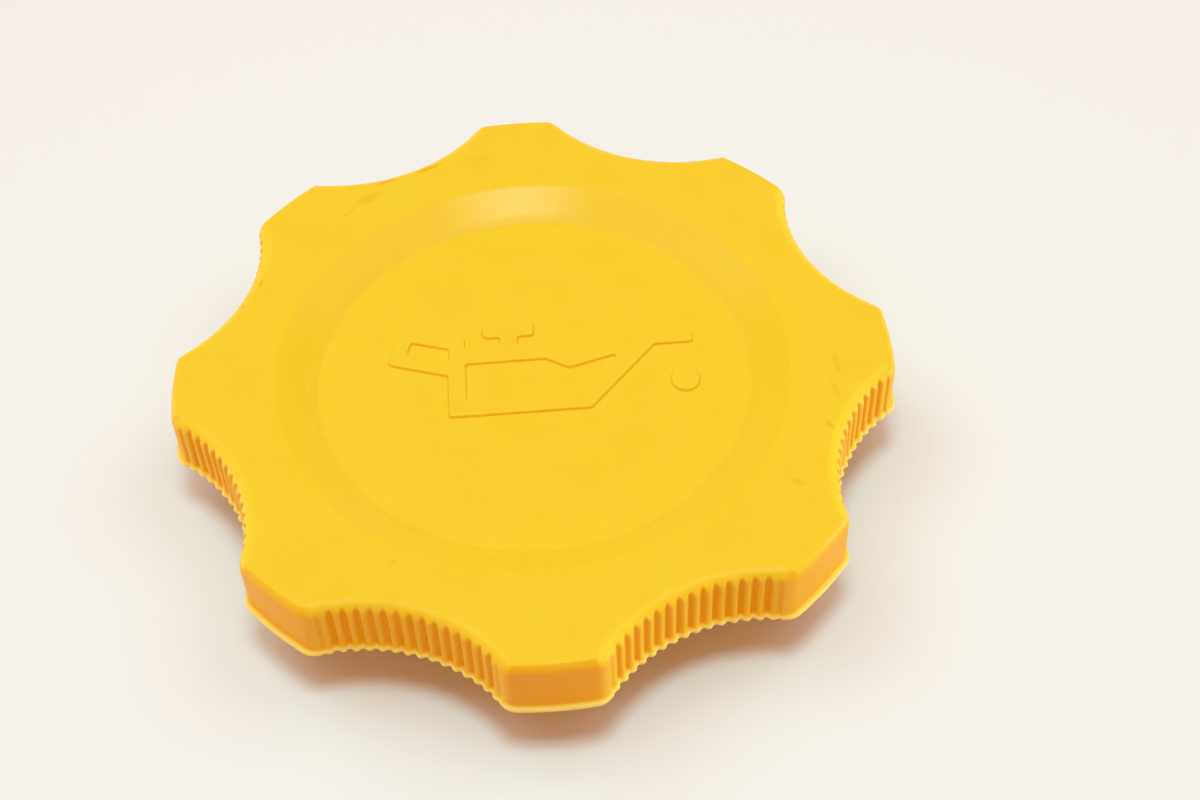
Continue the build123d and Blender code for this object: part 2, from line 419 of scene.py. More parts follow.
def reeding(grip):
    """Scallop angles that follow the reeds, each one's depth below the crests and its place within its reed.

    A reed and a groove are arcs that meet in line at the same slope s. With pitch p and depth d,
    tan(s / 2) = 2d / p, and each arc's radius is its width over 2 sin(s). At an angle a, a reed's arc lies
    r sin(a) from its crest and r (1 - cos(a)) deep; the groove's arc is the same seen from its bottom.
    """
    half = corner_angles(grip.tip_radius, grip.scallop_radius, grip.corner_radius, scallop_reach(grip))[1]
    last = half - grip.reed_margin / grip.scallop_radius
    step = 2 * last / grip.reeds
    pitch = grip.scallop_radius * step
    depth = grip.reed_depth
    slope = 2 * np.arctan(2 * depth / pitch)
    reed_radius = grip.reed_share * pitch / (2 * np.sin(slope))
    groove_radius = (1 - grip.reed_share) * pitch / (2 * np.sin(slope))
    bend = slope * np.linspace(-1, 1, REED_POINTS // 2 + 1)
    hollow = slope * np.linspace(0, 1, REED_POINTS // 4, endpoint=False)
    back = hollow[:0:-1]
    from_crest = np.concatenate(
        [groove_radius * np.sin(hollow) - pitch / 2,
         reed_radius * np.sin(bend),
         pitch / 2 - groove_radius * np.sin(back)]
    )
    lower = np.concatenate(
        [depth - groove_radius * (1 - np.cos(hollow)),
         reed_radius * (1 - np.cos(bend)),
         depth - groove_radius * (1 - np.cos(back))]
    )
    crests = step * (np.arange(grip.reeds) + 0.5) - last
    angles = (crests[:, None] + from_crest / grip.scallop_radius).ravel()
    below = np.tile(lower, grip.reeds)
    place = np.tile(from_crest * 2 / pitch, grip.reeds)
    below[(angles < crests[0]) | (angles > crests[-1])] *= grip.end_groove_depth / depth
    margin = np.linspace(0, 1, MARGIN_POINTS, endpoint=False)
    start = -half + (half - last) * margin
    end = last + (half - last) * margin
    below = np.concatenate([grip.end_groove_depth * margin, below, grip.end_groove_depth * (1 - margin)])
    place = np.concatenate([np.ones(MARGIN_POINTS), place, np.ones(MARGIN_POINTS)])
    return np.concatenate([start, angles, end]) / half, below, place


def round_the_ring(grip, stretch):
    """A scallop's values for the whole outline, with zero on the lobes' faces and corners."""
    scallops = np.broadcast_to(stretch, (grip.lobes, np.shape(stretch)[-1]))
    lead = np.zeros((grip.lobes, TIP_POINTS + CORNER_POINTS))
    tail = np.zeros((grip.lobes, CORNER_POINTS))
    return np.concatenate([lead, scallops, tail], 1).ravel()


def lobe_share(grip, scallop_points):
    """How far each point belongs to a lobe's face: 1 there, 0 in a scallop, (1 + cos) / 2 between."""
    fall = (1 + np.cos(np.linspace(0, np.pi, CORNER_POINTS, endpoint=False))) / 2
    stretch = np.concatenate([np.ones(TIP_POINTS), fall, np.zeros(scallop_points), 1 - fall])
    return np.tile(stretch, grip.lobes)


def grip_rows(grip, lobe):
    """Rows of the grip's side from the top face to the rim's underside.

    Each row has, for every point round it, a distance out, a height, a share of the reeds' depth, the lip (0
    or 1) and how far it belongs to the side and not the top, which sets the painted side shade. The top edge
    is an arc from the top face to the wall: a whole quarter circle in the scallops, and on the lobes the rest
    of a larger one after a crisp break. The lip stands out between a hollow fillet and two rounded edges.
    """
    top = grip.top
    rim = grip.top - grip.height
    lip_top = rim + grip.lip_thickness
    edge = grip.lip_edge
    start = grip.lobe_edge_break * lobe
    radius = grip.edge_radius + (grip.lobe_edge_radius - grip.edge_radius) * lobe
    reach = grip.lip_out + (grip.lobe_lip_out - grip.lip_out) * lobe
    tilt = start + (np.pi / 2 - start) * np.linspace(0, 1, CROWN_ROWS)[:, None]
    crown_out = radius * (np.sin(tilt) - 1)
    crown_height = top + radius * (np.cos(tilt) - np.cos(start))
    # The painted side shade grows with the top edge's tilt.
    crown = (np.degrees(tilt) - SIDE_SHADE_START - SIDE_SHADE_LOBE_DELAY * lobe) / SIDE_SHADE_SPAN
    down = np.linspace(0, 1, WALL_ROWS)[1:-1, None]
    walls = crown_height[-1] + (lip_top + grip.lip_fillet - crown_height[-1]) * down
    left, gone = (column[:, None] for column in quarter(LIP_STEPS))
    wave = grip.lip_wave
    rows = [
        (np.full_like(crown_out[:1], -grip.edge_radius - 2 * GUARD), top, 1, 0, 0),
        (crown_out[:1] - GUARD, top, 1, 0, 0),
        (crown_out, crown_height, 1, 0, np.clip(crown, 0, 1)),
        (0, walls, 1, 0, 1),
        ((reach - edge) * gone, lip_top + grip.lip_fillet * left, wave + (1 - wave) * left, 1, left),
        (reach - edge * left[1:], lip_top - edge * gone[1:], wave, 1, 0),
        (reach - edge * gone, rim + edge * left, wave, 1, 0),
        (reach[None] - edge - GUARD, rim, wave, 1, 0),
    ]
    full = [np.broadcast_arrays(*(np.asarray(column, float) for column in row)) for row in rows]
    return [np.concatenate(column) for column in zip(*full)]


def softly_lower(first, second, softness):
    """The lower of two values, less (1 - gap / softness)^2 softness / 4 where they are near each other."""
    near = np.clip(1 - np.abs(first - second) / softness, 0, 1)
    return np.minimum(first, second) - near**2 * softness / 4


# The oil-can sign on the dish's floor, as corners (x, y, rounding) in millimetres; the can points along +X.
CAN_EDGE = [
    (-9.65, -5.5, 0.5), (6.1, -5.5, 0.6), (13.75, 3.15, 0.4), (18.15, 3.15, 0.45), (18.15, 5.1, 0.45),
    (12.9, 5.1, 0.8), (4.4, 3.0, 0.5), (2.1, 4.5, 0.5), (-1.6, 4.5, 0.3), (-1.6, 5.75, 0.3),
    (0.3, 5.75, 0.6), (0.3, 8.0, 0.6), (-5.6, 8.0, 0.6), (-5.6, 5.8, 0.6), (-3.65, 5.8, 0.3),
    (-3.65, 4.5, 0.3), (-7.6, 4.5, 0.3), (-7.6, 6.05, 0.4), (-14.95, 8.45, 0.6), (-16.4, 2.8, 0.6),
    (-9.65, 0.55, 0.3),
]
CAN_OPENING = [
    (-7.6, 2.1, 0.3), (1.4, 2.15, 0.5), (3.9, 0.55, 0.5), (9.85, 2.2, 0.3), (5.35, -3.15, 0.3),
    (-7.6, -3.15, 0.3),
]
HANDLE_OPENING = [(-13.65, 5.9, 0.3), (-9.5, 4.55, 0.3), (-9.5, 2.65, 0.3), (-14.15, 4.2, 0.3)]
# The drop under the spout: its middle, half its width and height, and how it narrows to its straight tip.
DROP_MIDDLE = 16.75 - 1.55j
DROP_HALF_WIDTH = 1.6
DROP_HALF_HEIGHT = 2.5
DROP_POWER = 0.8
DROP_TIP = 0.45


def drop_outline():
    """The drop: x = w sin(t) sin(t/2)^p, scaled to its width, and y = h cos(t), with its tip at t = 0."""
    t = np.concatenate([[0], np.linspace(DROP_TIP, 2 * np.pi - DROP_TIP, DROP_POINTS - 1)])
    side = np.sin(t) * np.sin(t / 2) ** DROP_POWER
    return DROP_MIDDLE - DROP_HALF_WIDTH * side / side.max() + 1j * DROP_HALF_HEIGHT * np.cos(t)


def sign_relief(skin, sign, floor_z, rim_ring):
    """Raises the sign out of the dish's floor, which fills the rest of the ring round it.

    Each loop's edge is a profile carried along it: a hollow fillet on the floor, a leaning side and a rounded
    upper edge, all given as a distance in from the loop and a height. Openings run the other way round, so
    that the stroke is always on the left.
    """
    left, gone = quarter(EDGE_STEPS)
    high = floor_z + sign.height
    flat = sign.draft + sign.edge + GUARD / 2
    inward = np.concatenate(
        [[-sign.fillet - GUARD], -sign.fillet * left, sign.draft + sign.edge * gone, [flat]]
    )
    heights = np.concatenate([[floor_z], floor_z + sign.fillet * gone, high - sign.edge * left, [high]])
    loops = [
        soft_corners(CAN_EDGE, SIGN_STEPS),
        soft_corners(CAN_OPENING, SIGN_STEPS),
        soft_corners(HANDLE_OPENING, SIGN_STEPS),
        drop_outline(),
    ]
    feet = []
    tops = []
    for loop in loops:
        numbers = skin.add(raised(inset(loop * MM, inward), heights[:, None]))
        here = numbers[:-1]
        there = numbers[1:]
        skin.face(here, np.roll(here, -1, -1), np.roll(there, -1, -1), there)
        feet.append(numbers[0])
        tops.append(numbers[-1])
    can, opening, handle, drop = range(4)
    skin.fill([tops[can], tops[opening], tops[handle]])
    skin.fill([tops[drop]])
    skin.fill([rim_ring, feet[can], feet[drop]])
    skin.fill([feet[opening]])
    skin.fill([feet[handle]])


def dish_surface(skin, grip, dish, sign):
    """The dish, a profile turned about the axis with the sign on its floor. Gives its outermost ring."""
    top = grip.top
    floor_z = top - dish.depth
    ledge = (dish.radius + grip.tip_radius - grip.scallop_depth - grip.edge_radius) / 2
    corners = [
        (0, floor_z, 0),
        (dish.floor_radius, floor_z, dish.fillet),
        (dish.radius, top, dish.shoulder),
        (ledge, top, 0),
    ]
    slope = soft_corners(corners, DISH_STEPS, GUARD, closed=False)[1:-1]
    rings = skin.add(lathe(slope))
    skin.rows(rings)
    sign_relief(skin, sign, floor_z, rings[0])
    return rings[-1]


def grip_side(skin, grip):
    """The grip's reeded side. Gives its rows of point numbers, and the values for its painted shade, grime
    and highlight.

    A point stands out from the lobed outline along its normal. In the top edge and on the wall it is the
    lower of the rounding and the groove, and on the lip the row's distance less the wave, with flash that
    falls off from each reed's crest.
    """
    angles, below, place = reeding(grip)
    lobe = lobe_share(grip, len(angles))
    out, heights, wave, lip, sides = grip_rows(grip, lobe)
    depth = round_the_ring(grip, below)
    draws = np.random.default_rng(FLASH_SEED).random((grip.lobes, grip.reeds))
    flash = np.pad(np.repeat(draws, REED_POINTS, 1), ((0, 0), (MARGIN_POINTS, MARGIN_POINTS)))
    flash = round_the_ring(grip, flash * (1 - np.abs(place)) * grip.lip_flash)
    on_lip = np.clip(out / grip.lip_out, 0, 1)
    cut = softly_lower(out, -depth, grip.groove_edge)
    beyond = np.where(lip > 0, out - depth * wave + flash * on_lip, cut)
    plan, normal = lobed_outline(grip, angles)
    side = skin.add(raised(plan + normal * beyond, heights))
    skin.rows(side)
    # Shares of painted shade and grime in the grooves, painted shade on the sides and a painted highlight on
    # the lip.
    carried_values = {
        GROOVE_SHADE_AND_GRIME: np.where(lip > 0, depth * wave * sides, out - cut) / grip.reed_depth,
        SIDE_PAINTED_SHADE: sides * (SCALLOP_SHADE_SHARE + (1 - SCALLOP_SHADE_SHARE) * lobe),
        LIP_PAINTED_HIGHLIGHT: lip * on_lip,
    }
    return side, carried_values


def rim_pocket(skin, grip, edge):
    """Inside of the rim: the lobed outline one wall further in, from the rim's edge up to the plate."""
    rim = grip.top - grip.height
    ceiling = grip.top - grip.plate
    fillet = grip.pocket_fillet
    left, gone = quarter(EDGE_STEPS)
    out = np.concatenate([[edge + GUARD], edge * left, -fillet * gone, [-fillet - GUARD]])
    heights = np.concatenate([[rim], rim + edge * gone, ceiling - fillet * left, [ceiling]])
    scallop = np.linspace(-1, 1, POCKET_POINTS, endpoint=False)
    plan, normal = lobed_outline(grip, scallop, -grip.wall, grip.pocket_corner)
    pocket = skin.add(raised(plan + normal * out[:, None], heights[:, None]))
    skin.rows(pocket)
    return pocket


def underside(skin, grip, dish, spigot):
    """Underside of the plate and dish with the spigot: one profile turned about the axis, closed inside."""
    edge = spigot.edge
    ceiling = grip.top - grip.plate
    seat = grip.top - dish.depth - grip.plate
    shift = grip.plate * np.tan(np.arctan2(dish.depth, dish.radius - dish.floor_radius) / 2)
    bore = spigot.radius - spigot.wall
    corners = [
        (grip.tip_radius - grip.scallop_depth - grip.wall, ceiling, 0),
        (dish.radius + shift, ceiling, edge),
        (dish.floor_radius + shift, seat, edge),
        (spigot.radius, seat, edge / 2),
        (spigot.radius, spigot.chamfer, edge),
        (spigot.radius - spigot.chamfer, 0, edge),
        (bore, 0, edge),
        (bore, seat, edge),
        (0, seat, 0),
    ]
    profile = soft_corners(corners, UNDER_STEPS, GUARD, closed=False)[1:-1]
    rings = skin.add(lathe(profile))
    skin.rows(rings)
    skin.fill([rings[-1]], up=False)
    return rings


class OILCAP_OT_moulding(bpy.types.Operator):
    """Builds the cap's moulding as one closed skin, from the sign on the dish to the spigot's inside."""

    bl_idname = "oilcap.moulding"
    bl_label = "Cap moulding"

    def execute(self, context):
        scene = context.scene
        grip = scene.oilcap_grip
        dish = scene.oilcap_dish
        spigot = scene.oilcap_spigot
        skin = Skin()
        rim_ring = dish_surface(skin, grip, dish, scene.oilcap_sign)
        side, carried_values = grip_side(skin, grip)
        pocket = rim_pocket(skin, grip, spigot.edge)
        under = underside(skin, grip, dish, spigot)
        skin.stitch(rim_ring, side[0])
        skin.stitch(side[-1], pocket[0])
        skin.stitch(pocket[-1], under[0])

        piece = skin.build("cap_moulding")
        for name, values in carried_values.items():
            shares = np.zeros(skin.total)
            shares[side] = np.clip(values, 0, 1)
            piece.data.attributes.new(name, "FLOAT", "POINT").data.foreach_set("value", shares)
        dress(piece, moulded_nylon(scene))
        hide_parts("cap_body")
        return {"FINISHED"}


class OILCAP_OT_ribs(bpy.types.Operator):
    """Builds the stiffening ribs: a section carried out behind each scallop, lower under the dish."""

    bl_idname = "oilcap.ribs"
    bl_label = "Stiffening ribs"

    def execute(self, context):
        scene = context.scene
        grip = scene.oilcap_grip
        dish = scene.oilcap_dish
        spigot = scene.oilcap_spigot
        edge = spigot.edge
        half = spigot.rib_thickness / 2
        low = grip.top - grip.height + spigot.rib_setback
        high = grip.top - grip.plate / 2
        outer = grip.tip_radius - grip.scallop_depth - grip.wall / 2
        corners = [(half, low, edge), (half, high, edge), (-half, high, edge), (-half, low, edge)]
        section = soft_corners(corners, EDGE_STEPS, GUARD)
        # The inner end is rounded by stations that follow a quarter circle.
        left, gone = quarter(EDGE_STEPS)
        sections = inset(section, np.concatenate([edge / 2 * left, [0.0, 0.0]]))
        out = np.concatenate([spigot.rib_start + edge / 2 * gone, [dish.radius, outer]])[:, None]
        fall = np.clip((dish.radius - out) / (dish.radius - dish.floor_radius), 0, 1)
        squeeze = (high - dish.depth * fall - low) / (high - low)
        heights = low + (sections.imag - low) * squeeze
        skin = Skin()
        for i in range(grip.lobes):
            heading = np.exp(2j * np.pi / grip.lobes * (i + 0.5))
            skin.bar(raised((out - 1j * sections.real) * heading, heights))
        piece = skin.build("stiffening_ribs")
        dress(piece, moulded_nylon(scene))
        return {"FINISHED"}


class OILCAP_OT_lugs(bpy.types.Operator):
    """Builds the bayonet lugs: a section carried round the spigot, lower along the lead-in ramp."""

    bl_idname = "oilcap.lugs"
    bl_label = "Bayonet lugs"

    def execute(self, context):
        scene = context.scene
        spigot = scene.oilcap_spigot
        inner = spigot.radius - spigot.wall / 2
        outer = spigot.radius + spigot.lug_reach
        low = spigot.lug_low
        high = spigot.lug_low + spigot.lug_thickness
        edge = spigot.lug_edge
        end = spigot.edge
        corners = [(inner, low, edge), (outer, low, edge), (outer, high, edge), (inner, high, edge)]
        section = soft_corners(corners, LONG_EDGE_STEPS, GUARD)
        # Both ends are rounded by stations that follow a quarter circle.
        left, gone = quarter(EDGE_STEPS)
        round_end = end / outer * gone / spigot.lug_sweep
        middle = np.linspace(LUG_MIDDLE_START, 1 - LUG_MIDDLE_START, LUG_STATIONS)
        along = np.concatenate([round_end, middle, 1 - round_end[::-1]])[:, None]
        sections = inset(section, end * np.concatenate([left, np.zeros(LUG_STATIONS), left[::-1]]))
        drop = spigot.ramp_rise * np.clip(1 - along / spigot.ramp_share, 0, 1)
        squeeze = 1 - drop / spigot.lug_thickness
        heights = low + (sections.imag - low) * squeeze
        skin = Skin()
        for i in range(spigot.lugs):
            heading = np.exp(1j * (2 * np.pi * i / spigot.lugs + spigot.lug_sweep * (along - 0.5)))
            skin.bar(raised(sections.real * heading, heights))
        piece = skin.build("bayonet_lugs")
        dress(piece, moulded_nylon(scene))
        return {"FINISHED"}


class OILCAP_OT_seal(bpy.types.Operator):
    """Builds the flat seal ring: a section with soft edges turned about the axis."""

    bl_idname = "oilcap.seal"
    bl_label = "Seal ring"

    def execute(self, context):
        scene = context.scene
        spigot = scene.oilcap_spigot
        corners = [
            (spigot.seal_bore, spigot.seal_low, spigot.seal_edge),
            (spigot.seal_bore, spigot.seal_high, spigot.seal_seat_edge),
            (spigot.seal_outer, spigot.seal_high, spigot.seal_seat_edge),
            (spigot.seal_outer, spigot.seal_low, spigot.seal_edge),
        ]
        section = soft_corners(corners, LONG_EDGE_STEPS, GUARD)
        skin = Skin()
        rings = skin.add(lathe(section))
        skin.rows(np.concatenate([rings, rings[:1]]))
        piece = skin.build("seal_ring_rubber")
        dress(piece, nitrile_rubber(scene.oilcap_finishes))
        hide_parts("seal_ring")
        return {"FINISHED"}


# Widths of the nylon's patterns. The spark-eroded grain is really about 0.05 mm wide, and is drawn coarser so
# that it shows in the render.
CLOUD_WIDTH = 6 * MM
GRAIN_WIDTH = 0.25 * MM
RAG_WIDTH = 0.7 * MM
RAG_SWING = 1.2 * MM
# The polished ring on the slope, which is smoother and carries painted shade: where it comes in, from the
# floor's radius, and goes out, from the dish's.
POLISH_START = 0.3 * MM
POLISH_FULL = 1.3 * MM
POLISH_FADE = -0.4 * MM
POLISH_END = 0.6 * MM
# Marks of use on the top, in millimetres: x, y, heading in degrees, half length, half width, strength.
GRIME_MARKS = [
    (-18.3, 27.7, 36, 2.0, 0.85, 0.26),
    (-20.6, 25.6, 45, 1.9, 0.22, 0.22),
    (-11.0, 32.4, 20, 1.9, 0.45, 0.55),
    (-16.0, 30.5, 22, 1.6, 0.40, 0.45),
    (-4.8, 33.5, 8, 2.2, 0.80, 0.08),
    (-30.6, 14.8, 68, 0.8, 0.30, 0.50),
    (-32.5, 11.5, 70, 0.6, 0.28, 0.45),
    (33.3, -3.6, 96, 1.8, 0.45, 0.20),
    (32.5, -7.2, 104, 1.6, 0.40, 0.18),
    (31.2, -12.3, 112, 0.9, 0.40, 0.36),
    (26.7, -19.5, 130, 0.8, 0.40, 0.24),
    (-15.5, -26.0, 30, 0.5, 0.35, 0.24),
]
GRIME_DEPTH = 2 * MM
# A mark is whole inside the first share of its size and gone outside the second.
GRIME_WHOLE = 0.35
GRIME_GONE = 1.15
# Widths of the rubber's bloom and of its grain.
BLOOM_WIDTH = 4 * MM
RUBBER_GRAIN_WIDTH = 0.3 * MM
# A noise swings about this colour.
NOISE_MIDDLE = (0.5, 0.5, 0.5)
# A Mix node set to colours: its inputs for the colour under and the colour over, and its result.
MIX_UNDER = 6
MIX_OVER = 7
MIX_RESULT = 2


def add_node(tree, kind, inputs=None, **settings):
    """Adds a node with its settings; each input takes a value or the socket that feeds it."""
    node = tree.nodes.new(kind)
    for name, value in settings.items():
        setattr(node, name, value)
    for name, value in (inputs or {}).items():
        if isinstance(value, bpy.types.NodeSocket):
            tree.links.new(value, node.inputs[name])
        else:
            node.inputs[name].default_value = value
    return node


def new_material(name):
    """An empty node material and its tree."""
    material = bpy.data.materials.new(name)
    material.use_nodes = True
    material.node_tree.nodes.clear()
    return material, material.node_tree


def solid(colour):
    """A colour with its alpha."""
    return (*colour, 1.0)


def polished_ring(tree, place, dish):
    """Share of the polished ring at a place: in between two radii, with soft edges."""
    flat = add_node(tree, "ShaderNodeVectorMath", {0: place, 1: (1.0, 1.0, 0.0)}, operation="MULTIPLY")
    away = add_node(tree, "ShaderNodeVectorMath", {0: flat.outputs["Vector"]}, operation="LENGTH")
    radius = away.outputs["Value"]
    inner = add_node(
        tree, "ShaderNodeMapRange",
        {"Value": radius,
         "From Min": dish.floor_radius + POLISH_START,
         "From Max": dish.floor_radius + POLISH_FULL},
    )
    outer = add_node(
        tree, "ShaderNodeMapRange",
        {"Value": radius, "From Min": dish.radius + POLISH_END, "From Max": dish.radius + POLISH_FADE},
    )
    ring = add_node(
        tree, "ShaderNodeMath",
        {0: inner.outputs["Result"], 1: outer.outputs["Result"]},
        operation="MULTIPLY",
    )
    return ring.outputs[0]


def grime_marks(tree, place, top):
    """Share of grime at a place: the strongest of the marks, their edges made ragged by a noise."""
    rag = add_node(tree, "ShaderNodeTexNoise", {"Vector": place, "Scale": 1 / RAG_WIDTH, "Detail": 3.0})
    swing = add_node(
        tree, "ShaderNodeVectorMath",
        {0: rag.outputs["Color"], 1: NOISE_MIDDLE},
        operation="SUBTRACT",
    )
    moved = add_node(
        tree, "ShaderNodeVectorMath",
        {0: swing.outputs["Vector"], 1: (RAG_SWING, RAG_SWING, 0.0), 2: place},
        operation="MULTIPLY_ADD",
    )
    grime = 0.0
    for x, y, heading, half_length, half_width, strength in GRIME_MARKS:
        mark = add_node(
            tree, "ShaderNodeMapping",
            {"Vector": moved.outputs["Vector"],
             "Location": (x * MM, y * MM, top),
             "Rotation": (0.0, 0.0, np.radians(heading)),
             "Scale": (half_length * MM, half_width * MM, GRIME_DEPTH)},
            vector_type="TEXTURE",
        )
        away = add_node(tree, "ShaderNodeVectorMath", {0: mark.outputs["Vector"]}, operation="LENGTH")
        spread = add_node(
            tree, "ShaderNodeMapRange",
            {"Value": away.outputs["Value"],
             "From Min": GRIME_GONE,
             "From Max": GRIME_WHOLE,
             "To Max": strength},
            interpolation_type="SMOOTHSTEP",
        )
        stronger = add_node(
            tree, "ShaderNodeMath", {0: grime, 1: spread.outputs["Result"]}, operation="MAXIMUM"
        )
        grime = stronger.outputs[0]
    return grime


def moulded_nylon(scene):
    """Nylon coloured in the mass, moulded in a spark-eroded tool with a turned and polished ring.

    The eye sees a satin yellow with a very fine even grain and faint cloudiness a few millimetres wide, and a
    smoother slope on the dish. Painted shade makes the slope deeper and the sides more orange, painted shade
    and grime make the grooves dull and orange, and a painted highlight makes the lip paler.
    Light goes a little way in and comes out redder at the edges. Grime shows where fingers and oil have been.
    """
    name = "nylon_yellow_moulded"
    if name in bpy.data.materials:
        return bpy.data.materials[name]
    colours = scene.oilcap_finishes
    material, tree = new_material(name)
    place = add_node(tree, "ShaderNodeTexCoord").outputs["Object"]
    cloud = add_node(tree, "ShaderNodeTexNoise", {"Vector": place, "Scale": 1 / CLOUD_WIDTH, "Detail": 3.0})
    grain = add_node(tree, "ShaderNodeTexNoise", {"Vector": place, "Scale": 1 / GRAIN_WIDTH, "Detail": 2.0})
    clouded = add_node(
        tree, "ShaderNodeMapRange",
        {"Value": cloud.outputs["Fac"], "From Min": 0.35, "From Max": 0.75, "To Max": 0.3},
    )
    slope = polished_ring(tree, place, scene.oilcap_dish)
    side, groove, flash = (
        add_node(tree, "ShaderNodeAttribute", attribute_name=carried_name).outputs["Fac"]
        for carried_name in (SIDE_PAINTED_SHADE, GROOVE_SHADE_AND_GRIME, LIP_PAINTED_HIGHLIGHT)
    )
    grime = grime_marks(tree, place, scene.oilcap_grip.top)
    colour = solid(colours.yellow)
    # Layers over the yellow: clouds, painted shade on the slope, painted side shade, painted shade and grime
    # in the grooves, a painted highlight on the lip, and grime marks.
    for amount, over in (
        (clouded.outputs["Result"], colours.yellow_deep),
        (slope, colours.polished),
        (side, colours.side),
        (groove, colours.groove),
        (flash, colours.flash),
        (grime, colours.grime),
    ):
        layer = add_node(
            tree, "ShaderNodeMix",
            {"Factor": amount, MIX_UNDER: colour, MIX_OVER: solid(over)},
            data_type="RGBA",
        )
        colour = layer.outputs[MIX_RESULT]
    gloss = add_node(tree, "ShaderNodeMapRange", {"Value": slope, "To Min": 0.42, "To Max": 0.27})
    shine = add_node(tree, "ShaderNodeMapRange", {"Value": groove, "To Min": 0.16, "To Max": 0.04})
    bump = add_node(
        tree, "ShaderNodeBump",
        {"Height": grain.outputs["Fac"], "Strength": 0.12, "Distance": 0.02 * MM},
    )
    surface = add_node(
        tree, "ShaderNodeBsdfPrincipled",
        {"Base Color": colour,
         "Roughness": gloss.outputs["Result"],
         "IOR": 1.53,
         "Specular IOR Level": shine.outputs["Result"],
         "Subsurface Weight": 0.3,
         "Subsurface Radius": (1.0, 0.4, 0.1),
         "Subsurface Scale": 0.9 * MM,
         "Normal": bump.outputs["Normal"]},
    )
    add_node(tree, "ShaderNodeOutputMaterial", {"Surface": surface.outputs["BSDF"]})
    return material


def nitrile_rubber(colours):
    """Nitrile rubber, compression moulded.

    The eye sees a dull black with a dusty grey bloom in patches of a few millimetres and a faint soft grain.
    """
    material, tree = new_material("nitrile_rubber_moulded")
    place = add_node(tree, "ShaderNodeTexCoord").outputs["Object"]
    bloom = add_node(tree, "ShaderNodeTexNoise", {"Vector": place, "Scale": 1 / BLOOM_WIDTH, "Detail": 4.0})
    grain = add_node(
        tree, "ShaderNodeTexNoise", {"Vector": place, "Scale": 1 / RUBBER_GRAIN_WIDTH, "Detail": 2.0}
    )
    tone = add_node(
        tree, "ShaderNodeMix",
        {"Factor": bloom.outputs["Fac"],
         MIX_UNDER: solid(colours.rubber),
         MIX_OVER: solid(colours.rubber_bloom)},
        data_type="RGBA",
    )
    bump = add_node(
        tree, "ShaderNodeBump",
        {"Height": grain.outputs["Fac"], "Strength": 0.25, "Distance": 0.03 * MM},
    )
    surface = add_node(
        tree, "ShaderNodeBsdfPrincipled",
        {"Base Color": tone.outputs[MIX_RESULT],
         "Roughness": 0.72,
         "IOR": 1.52,
         "Normal": bump.outputs["Normal"]},
    )
    add_node(tree, "ShaderNodeOutputMaterial", {"Surface": surface.outputs["BSDF"]})
    return material


# Where the table starts to melt into the backdrop and where it ends, in metres from the axis.
FLOOR_MELTS = 0.13
FLOOR_RADIUS = 0.3


def matt_table(colours):
    """Painted table top, rolled matt: an even pale cream that only shows shadows.

    From below it lets the eye through, and far from the cap it melts into the backdrop.
    """
    material, tree = new_material("painted_table_matt")
    paint = add_node(
        tree, "ShaderNodeBsdfPrincipled",
        {"Base Color": solid(colours.floor), "Roughness": 0.8, "Specular IOR Level": 0.1},
    )
    clear = add_node(tree, "ShaderNodeBsdfTransparent")
    back = add_node(tree, "ShaderNodeNewGeometry").outputs["Backfacing"]
    place = add_node(tree, "ShaderNodeTexCoord").outputs["Object"]
    away = add_node(tree, "ShaderNodeVectorMath", {0: place}, operation="LENGTH")
    melt = add_node(
        tree, "ShaderNodeMapRange",
        {"Value": away.outputs["Value"], "From Min": FLOOR_MELTS, "From Max": FLOOR_RADIUS},
        interpolation_type="SMOOTHSTEP",
    )
    unseen = add_node(tree, "ShaderNodeMath", {0: back, 1: melt.outputs["Result"]}, operation="MAXIMUM")
    sides = add_node(
        tree, "ShaderNodeMixShader",
        {"Fac": unseen.outputs[0], 1: paint.outputs["BSDF"], 2: clear.outputs["BSDF"]},
    )
    add_node(tree, "ShaderNodeOutputMaterial", {"Surface": sides.outputs["Shader"]})
    return material


# The photograph's view: the camera's tilt, roll and heading in degrees, and where the middle of the top face
# is from it along its own axes, in millimetres.
VIEW_TILT = 49.714
VIEW_ROLL = -2.133
VIEW_HEADING = -2.688
VIEW_RIGHT = -7.41
VIEW_DOWN = -4.407
VIEW_AWAY = 206.726
LENS = 56.044
SENSOR = 36.0
NEAREST = 0.01
FARTHEST = 20.0
# Lamps: name, heading and rise in degrees, distance, width and height in metres, power in watts, colour.
LAMPS = [
    ("overhead_softbox", 275, 81, 0.55, 0.165, 0.165, 1.18, "#B9F6FF"),
    ("left_softbox", 154, 60, 0.8, 0.6, 0.6, 1.8, "#B9F6FF"),
    ("right_softbox", 16, 60, 0.65, 0.48, 0.48, 0.88, "#B9F6FF"),
    ("left_strip", 165, 0.7, 0.9, 0.5, 0.016, 2.45, "#D8FFF4"),
    ("right_strip", 355, 0.7, 0.9, 0.5, 0.016, 4.0, "#CFFFF4"),
    ("under_softbox", 275, -89, 0.5, 0.2, 0.2, 1.1, "#B9F6FF"),
]


def lay_table(scene):
    """The table: a flat ring, open inside the spigot's foot so that light from below reaches the hollow."""
    spigot = scene.oilcap_spigot
    edges = np.array([spigot.radius - spigot.chamfer - spigot.edge / 2, FLOOR_RADIUS])
    skin = Skin()
    skin.rows(skin.add(lathe(edges)))
    table = skin.build("table_top")
    table.data.materials.append(matt_table(scene.oilcap_finishes))


